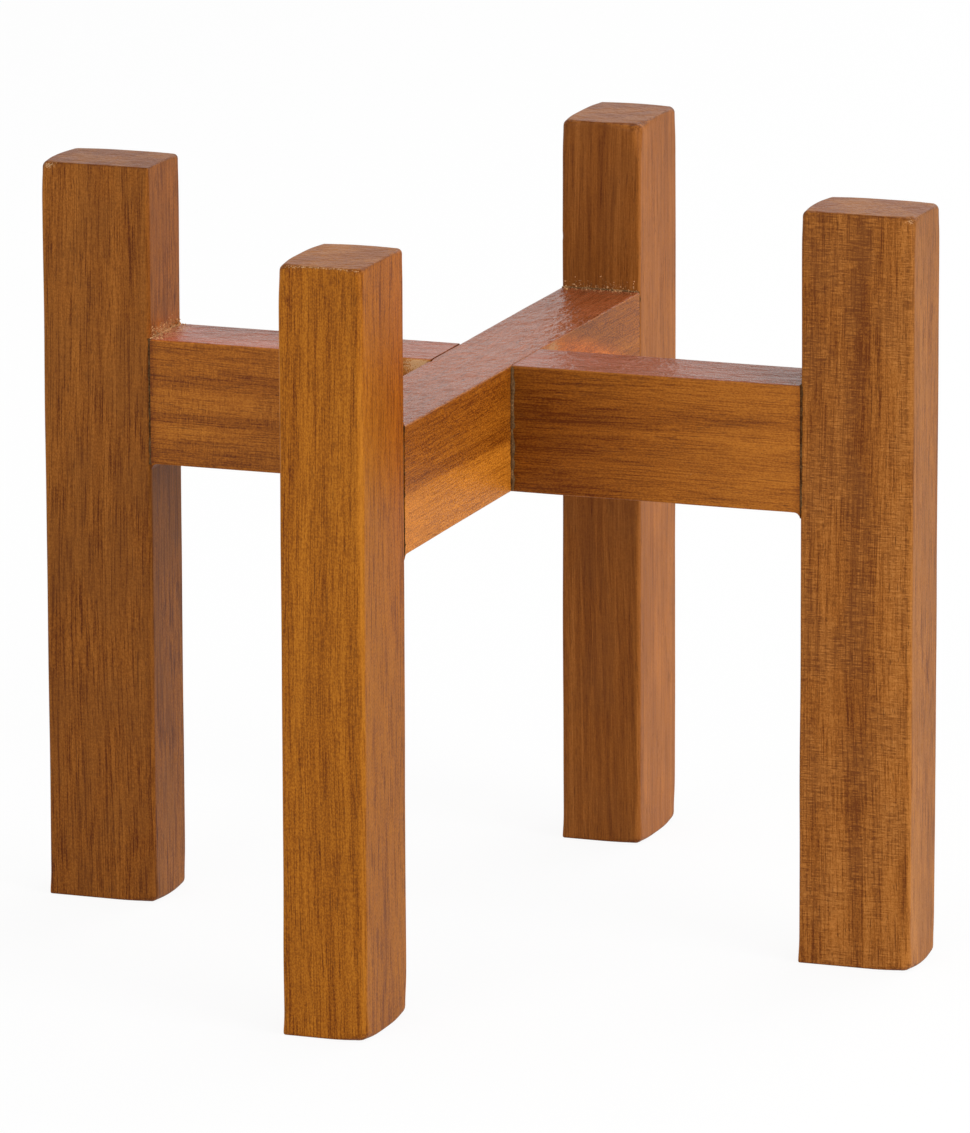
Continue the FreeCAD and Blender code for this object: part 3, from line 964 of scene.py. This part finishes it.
def bead_paths(settings):
    """The lines along which glue was pressed out, and the grooves beside the bars' ends where dark beads
    paint the shade, with each bead's radius and tint.
    """
    low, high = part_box("crossbar_lower")
    end, side, bottom, top = high.x, high.y, low.z, high.z
    corner = side + CORNER_OUT * settings.corner_bead
    groove_x = end + GROOVE_IN * settings.groove_shade_bead
    groove_y = side - GROOVE_INSET * settings.groove_shade_bead
    inset = side - SEAT_INSET * settings.seat_bead
    points, radii, tints = [], [], []
    for arm, turn in arm_turns():
        seat = SEATS[arm]
        beads = [
            ((corner, corner, bottom + BEAD_INSET), (corner, corner, top - BEAD_INSET),
             settings.corner_bead, CORNER_TINT),
            ((end, -inset, top), (end, inset, top), settings.seat_bead * seat.bead, seat.tint),
        ]
        # Dark beads in the grooves beside the bar's end: painted shade.
        for y in (groove_y, -groove_y):
            beads.append(((groove_x, y, bottom), (groove_x, y, top), settings.groove_shade_bead, GROOVE_SHADE_TINT))
        for start, stop, radius, tint in beads:
            points += [turn @ Vector(start), turn @ Vector(stop)]
            radii += [radius, radius]
            tints += [tint, tint]
    edges = [(k, k + 1) for k in range(0, len(points), 2)]
    return new_mesh("bead_paths", points, edges, [], {"radius": radii, "tint": tints})


def crumb_strips(settings):
    """Strips on the legs and on the bars beside each seat, with how thickly crumbs lie there."""
    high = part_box("crossbar_lower")[1]
    side = high.y - STRIP_INSET
    seam = Vector((high.x + STRIP_SUNK, 0, high.z - STRIP_SUNK))
    points, faces, thick = [], [], []
    for arm, turn in arm_turns():
        for along in (Vector((0, 0, 1)), Vector((-1, 0, 0))):
            for row in range(STRIP_ROWS):
                share = row / (STRIP_ROWS - 1)
                for y in (-side, side):
                    points.append(turn @ (seam + along * settings.strip * share + Vector((0, y, 0))))
                    thick.append(SEATS[arm].crumbs * (1 - share) ** 2)
                if row:
                    k = len(points)
                    faces.append((k - 4, k - 3, k - 1, k - 2))
    return new_mesh("crumb_strips", points, [], faces, {"thick": thick})


def new_geometry_tree(name, inputs):
    """A geometry tree with named inputs, and the sockets that bring them in."""
    tree = bpy.data.node_groups.new(name, "GeometryNodeTree")
    tree.interface.new_socket("Geometry", in_out="INPUT", socket_type="NodeSocketGeometry")
    for label, kind in inputs.items():
        tree.interface.new_socket(label, in_out="INPUT", socket_type=f"NodeSocket{kind}")
    tree.interface.new_socket("Geometry", in_out="OUTPUT", socket_type="NodeSocketGeometry")
    return tree, add_node(tree, "NodeGroupInput").outputs


def end_tree(tree, geometry, material):
    """Ends a tree: its result is made real and gets its material."""
    real = add_node(tree, "GeometryNodeRealizeInstances", {"Geometry": geometry}).outputs[0]
    dressed = add_node(tree, "GeometryNodeSetMaterial", {"Geometry": real, "Material": material})
    add_node(tree, "NodeGroupOutput", {0: dressed.outputs[0]})
    return tree


def carried(tree, name):
    """A value that the base mesh's points carry."""
    inputs = {"Name": name}
    return add_node(tree, "GeometryNodeInputNamedAttribute", inputs, data_type="FLOAT").outputs[0]


def moved_by(tree, geometry, offset):
    """A geometry with its points moved."""
    return add_node(tree, "GeometryNodeSetPosition", {"Geometry": geometry, "Offset": offset}).outputs[0]


def bead_tree():
    """Lumpy round beads along the edges of a mesh."""
    kinds = {"Step": "Float", "Lumps": "Float", "Seed": "Int", "Material": "Material"}
    tree, given = new_geometry_tree("glue_beads", kinds)
    paths = add_node(tree, "GeometryNodeMeshToCurve", {"Mesh": given["Geometry"]}).outputs[0]
    inputs = {"Curve": paths, "Length": given["Step"]}
    paths = add_node(tree, "GeometryNodeResampleCurve", inputs, mode="LENGTH").outputs[0]
    place = add_node(tree, "GeometryNodeInputPosition").outputs[0]
    drift = add_node(tree, "ShaderNodeCombineXYZ", {0: given["Seed"]}).outputs[0]
    place = vector_maths(tree, "ADD", vector_maths(tree, "DIVIDE", place, [LUMP_SIZE] * 3), drift)
    lumpy = add_node(tree, "ShaderNodeTexNoise", {"Vector": place, "Scale": 1.0, "Detail": 2.0}).outputs
    lump = times(tree, maths(tree, "SUBTRACT", lumpy[0], 0.5), given["Lumps"])
    radius = carried(tree, "radius")
    paths = moved_by(tree, paths, scaled(tree, vector_maths(tree, "SUBTRACT", lumpy[1], HALF), radius))
    swell = maths(tree, "MULTIPLY_ADD", lump, LUMP_SWELL, 1.0)
    inputs = {"Resolution": BEAD_SIDES, "Radius": 1.0}
    ring = add_node(tree, "GeometryNodeCurvePrimitiveCircle", inputs).outputs[0]
    beads = add_node(tree, "GeometryNodeCurveToMesh", {
        "Curve": paths, "Profile Curve": ring, "Scale": times(tree, radius, swell), "Fill Caps": True,
    }).outputs[0]
    normal = add_node(tree, "GeometryNodeInputNormal").outputs[0]
    beads = moved_by(tree, beads, scaled(tree, normal, times(tree, lump, radius)))
    beads = add_node(tree, "GeometryNodeSetShadeSmooth", {"Geometry": beads}).outputs[0]
    return end_tree(tree, beads, given["Material"])


def random_value(tree, limits, seed, slot):
    """A random value between two limits for each point: a vector in slot 0, a number in slot 1."""
    inputs = {2 * slot: limits[0], 2 * slot + 1: limits[1], "Seed": seed}
    kind = ("FLOAT_VECTOR", "FLOAT")[slot]
    return add_node(tree, "FunctionNodeRandomValue", inputs, data_type=kind).outputs[slot]


def crumb_tree():
    """Small crumbs scattered over a mesh, more of them where it says that they lie thick."""
    kinds = {"Density": "Float", "Size": "Float", "Seed": "Int", "Material": "Material"}
    tree, given = new_geometry_tree("glue_crumbs", kinds)
    seed = given["Seed"]
    density = times(tree, carried(tree, "thick"), given["Density"])
    inputs = {"Mesh": given["Geometry"], "Density": density, "Seed": seed}
    points = add_node(tree, "GeometryNodeDistributePointsOnFaces", inputs).outputs["Points"]
    inputs = {"Geometry": points, "Name": "tint", "Value": random_value(tree, CRUMB_TINTS, seed, 1)}
    points = add_node(
        tree, "GeometryNodeStoreNamedAttribute", inputs, data_type="FLOAT", domain="POINT",
    ).outputs[0]
    turn = random_value(tree, CRUMB_TURNS, seed, 0)
    size = random_value(tree, CRUMB_SIZES, seed, 0)
    scale = scaled(tree, vector_maths(tree, "MULTIPLY", size, size), given["Size"])
    grain = add_node(tree, "GeometryNodeMeshIcoSphere", {"Radius": 1.0, "Subdivisions": 1}).outputs[0]
    inputs = {"Points": points, "Instance": grain, "Rotation": turn, "Scale": scale}
    crumbs = add_node(tree, "GeometryNodeInstanceOnPoints", inputs).outputs[0]
    return end_tree(tree, crumbs, given["Material"])


GLUE_LUMPS, GLUE_STRETCHES = [0.7] * 3, [5.0] * 3
STRETCH_TINT = 0.8
GLUE_BUMP, GLUE_RELIEF, GLUE_IOR = 0.5, 0.2 * MM, 1.04


def glue_material(name, colours):
    """Dried glue, from dark in the grooves, where the dark paints their shade, to pale where dust sticks
    to it.
    """
    material, tree = new_material(name)
    place = add_node(tree, "ShaderNodeTexCoord").outputs["Object"]
    place = vector_maths(tree, "DIVIDE", place, [MM] * 3)
    lumps = clouds(tree, place, GLUE_LUMPS, 3.0)
    stretches = clouds(tree, place, GLUE_STRETCHES, 2.0)
    tint = maths(tree, "ADD", lumps, read_attribute(tree, "tint").outputs["Fac"])
    tint = maths(tree, "MULTIPLY_ADD", stretches, STRETCH_TINT, tint)
    looks = (colours.old_glue, colours.glue, colours.pale_glue)
    colour = colour_ramp(tree, tint, [(k / 2, (*look, 1.0)) for k, look in enumerate(looks)])
    rough = fade(tree, lumps, -0.3, 0.3, 0.55, 0.75)
    end_material(tree, colour, rough, lumps, GLUE_BUMP, GLUE_RELIEF, IOR=GLUE_IOR)
    return material


def grow_glue(context, kind, base, tree, **values):
    """Makes one piece of glue: what a geometry tree makes of a base mesh, as a plain mesh."""
    values["Seed"] = context.scene.stand_glue.seed
    values["Material"] = glue_material(f"{kind}_glue", context.scene.stand_colours)
    holder = new_object(tree.name, base)
    modifier = holder.modifiers.new(tree.name, "NODES")
    modifier.node_group = tree
    for item in tree.interface.items_tree:
        if item.in_out == "INPUT" and item.name in values:
            modifier[item.identifier] = values[item.name]
    mesh = baked(context, holder)
    bpy.data.objects.remove(holder)
    bpy.data.meshes.remove(base)
    new_piece(f"glue_{kind}s", mesh)


class MakeLegs(bpy.types.Operator):
    """Makes the four sanded legs"""
    bl_idname = "pot_stand.make_legs"
    bl_label = "Legs"

    def execute(self, context):
        radius = context.scene.stand_boards.leg_rounding
        for arm in ARMS:
            make_board(context, Board(f"leg_{arm}", "leg_wood", Z, (), radius, dowels_of(arm)))
        return {"FINISHED"}


LAP_PLAY = 0.1 * MM
BEYOND = 1.0


class MakeBars(bpy.types.Operator):
    """Makes the two bars, each with the notch that the other lies in"""
    bl_idname = "pot_stand.make_bars"
    bl_label = "Crossbars"

    def execute(self, context):
        radius = context.scene.stand_boards.bar_rounding
        lower_low, lower_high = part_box("crossbar_lower")
        upper_low, upper_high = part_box("crossbar_upper")
        lap = (lower_low.z + lower_high.z) / 2
        above = ((upper_low.x - LAP_PLAY, -BEYOND, lap), (upper_high.x + LAP_PLAY, BEYOND, BEYOND))
        below = ((-BEYOND, lower_low.y - LAP_PLAY, 0.0), (BEYOND, lower_high.y + LAP_PLAY, lap))
        lower = Board("crossbar_lower", "bar_wood", X, above, radius, dowels_of("right", "left"))
        upper = Board("crossbar_upper", "bar_wood", Y, below, radius, dowels_of("back", "front"))
        make_board(context, lower)
        make_board(context, upper)
        return {"FINISHED"}


class FinishDowels(bpy.types.Operator):
    """Gives the hidden dowels their pale wood"""
    bl_idname = "pot_stand.finish_dowels"
    bl_label = "Dowels"

    def execute(self, context):
        for k, arm in enumerate(ARMS):
            for name in dowels_of(arm):
                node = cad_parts[name]
                material = dowel_material(node.name, context.scene.stand_colours.dowel, (X, Y)[k % 2])
                node.material_slots[0].material = material
        return {"FINISHED"}


class MakeGlueBeads(bpy.types.Operator):
    """Makes the beads of glue along the joints, and the dark beads that paint the shade in the grooves"""
    bl_idname = "pot_stand.make_glue_beads"
    bl_label = "Glue beads"

    def execute(self, context):
        glue = context.scene.stand_glue
        grow_glue(context, "bead", bead_paths(glue), bead_tree(), Step=glue.step, Lumps=glue.lumps)
        return {"FINISHED"}


class MakeGlueCrumbs(bpy.types.Operator):
    """Scatters crumbs of glue and sanding dust beside the seats of the bars"""
    bl_idname = "pot_stand.make_glue_crumbs"
    bl_label = "Glue crumbs"

    def execute(self, context):
        glue = context.scene.stand_glue
        sizes = {"Density": glue.crumb_density, "Size": glue.crumb}
        grow_glue(context, "crumb", crumb_strips(glue), crumb_tree(), **sizes)
        return {"FINISHED"}


class SetStage(bpy.types.Operator):
    """Sets up the floor, the light and the camera"""
    bl_idname = "pot_stand.set_stage"
    bl_label = "Stage"

    def execute(self, context):
        settings = context.scene.stand_stage
        make_floor(settings)
        make_surround(context.scene, settings)
        for lamp in LAMPS:
            make_lamp(*lamp)
        make_camera(context.scene, settings)
        context.scene.view_settings.view_transform = "Standard"
        return {"FINISHED"}


FLOOR_SIDE = 30.0
FLOOR_GREY = (0.94, 0.94, 0.94, 1.0)


def seen_directly(tree):
    """One for rays from the camera, mirrors and glass, and zero for the light on the object."""
    path = add_node(tree, "ShaderNodeLightPath").outputs
    seen = maths(tree, "MAXIMUM", path["Is Camera Ray"], path["Is Glossy Ray"])
    return maths(tree, "MAXIMUM", seen, path["Is Transmission Ray"])


def mix_shaders(tree, share, first, second):
    """The first shader turned into the second by share."""
    inputs = {0: share, 1: first.outputs[0], 2: second.outputs[0]}
    return add_node(tree, "ShaderNodeMixShader", inputs)


def make_floor(settings):
    """A pale floor, only there from above, that shows as near white and keeps the stand's shadow."""
    half = FLOOR_SIDE / 2
    mesh = bpy.data.meshes.new("floor")
    corners = [(-half, -half, 0), (half, -half, 0), (half, half, 0), (-half, half, 0)]
    mesh.from_pydata(corners, [], [(0, 1, 2, 3)])
    material, tree = new_material("pale_floor")
    matt = add_node(tree, "ShaderNodeBsdfDiffuse", {"Color": FLOOR_GREY})
    white = add_node(tree, "ShaderNodeEmission", {"Color": WHITE, "Strength": 1.0})
    mixed = mix_shaders(tree, times(tree, seen_directly(tree), settings.floor_white), matt, white)
    below = add_node(tree, "ShaderNodeNewGeometry").outputs["Backfacing"]
    one_sided = mix_shaders(tree, below, mixed, add_node(tree, "ShaderNodeBsdfTransparent"))
    add_node(tree, "ShaderNodeOutputMaterial", {"Surface": one_sided.outputs[0]})
    mesh.materials.append(material)
    floor = new_object("floor", mesh)


def make_surround(scene, settings):
    """White surroundings that light the stand evenly and show as plain white."""
    world = bpy.data.worlds.new("white_surround")
    world.use_nodes = True
    tree = world.node_tree
    tree.nodes.clear()
    strength = fade(tree, seen_directly(tree), 0.0, 1.0, settings.surround, 1.0)
    light = add_node(tree, "ShaderNodeBackground", {"Color": WHITE, "Strength": strength})
    add_node(tree, "ShaderNodeOutputWorld", {"Surface": light.outputs[0]})
    scene.world = world


# Soft square lamps: each one's name, its place and side in metres, and its power in watts.
LAMPS = (
    ("key_lamp", (2.3, -0.9, 0.9), 1.4, 36.0),
    ("front_lamp", (-0.7, -2.4, 0.9), 1.4, 20.0),
    ("back_lamp", (0.6, 2.2, 1.5), 1.6, 20.0),
    ("top_lamp", (0.2, 0.3, 2.7), 2.0, 16.0),
)


def make_lamp(name, place, side, power):
    """One soft lamp aimed at the middle of the stand."""
    data = bpy.data.lights.new(name, "AREA")
    data.shape = "SQUARE"
    data.size = side
    data.energy = power
    lamp = new_object(name, data)
    lamp.location = place
    aim = (CAD_LOW + CAD_HIGH) / 2 - Vector(place)
    lamp.rotation_euler = aim.to_track_quat("-Z", "Y").to_euler()


CLIP_START = 0.1


def make_camera(scene, settings):
    """The camera, turned about the point that it looks at."""
    data = bpy.data.cameras.new("camera")
    data.lens = settings.lens
    data.clip_start = CLIP_START
    camera = new_object("camera", data)
    turn = Matrix.Rotation(settings.azimuth, 4, "Z")
    tilt = Matrix.Rotation(math.pi / 2 - settings.elevation, 4, "X")
    roll = Matrix.Rotation(settings.roll, 4, "Z")
    back = Matrix.Translation((0.0, 0.0, settings.distance))
    camera.matrix_world = Matrix.Translation(settings.target) @ turn @ tilt @ back @ roll
    scene.camera = camera


class PotStandPanel(bpy.types.Panel):
    """Lists the steps that make the stand, and its settings"""
    bl_idname = "POT_STAND_PT_panel"
    bl_label = "Pot stand"
    bl_space_type = "VIEW_3D"
    bl_region_type = "UI"
    bl_category = "Pot stand"

    def draw(self, context):
        for operator in OPERATORS:
            self.layout.operator(operator.bl_idname)
        for name, kind in SETTINGS.items():
            column = self.layout.column()
            group = getattr(context.scene, name)
            for setting in kind.__annotations__:
                column.prop(group, setting)


OPERATORS = (MakeLegs, MakeBars, FinishDowels, MakeGlueBeads, MakeGlueCrumbs, SetStage)
SETTINGS = {
    "stand_boards": BoardSettings,
    "stand_colours": WoodColours,
    "stand_varnish": VarnishSettings,
    "stand_glue": GlueSettings,
    "stand_stage": StageSettings,
}


def register():
    """Registers the settings, the steps and the panel."""
    for name, kind in SETTINGS.items():
        bpy.utils.register_class(kind)
        setattr(bpy.types.Scene, name, PointerProperty(type=kind))
    for kind in (*OPERATORS, PotStandPanel):
        bpy.utils.register_class(kind)


def unregister():
    """Takes away what register added."""
    for kind in (PotStandPanel, *reversed(OPERATORS)):
        bpy.utils.unregister_class(kind)
    for name, kind in SETTINGS.items():
        delattr(bpy.types.Scene, name)
        bpy.utils.unregister_class(kind)


def main():
    """Makes the stand and its stage."""
    register()
    bpy.ops.pot_stand.make_legs()
    bpy.ops.pot_stand.make_bars()
    bpy.ops.pot_stand.finish_dowels()
    bpy.ops.pot_stand.make_glue_beads()
    bpy.ops.pot_stand.make_glue_crumbs()
    bpy.ops.pot_stand.set_stage()


if __name__ == "__main__":
    main()
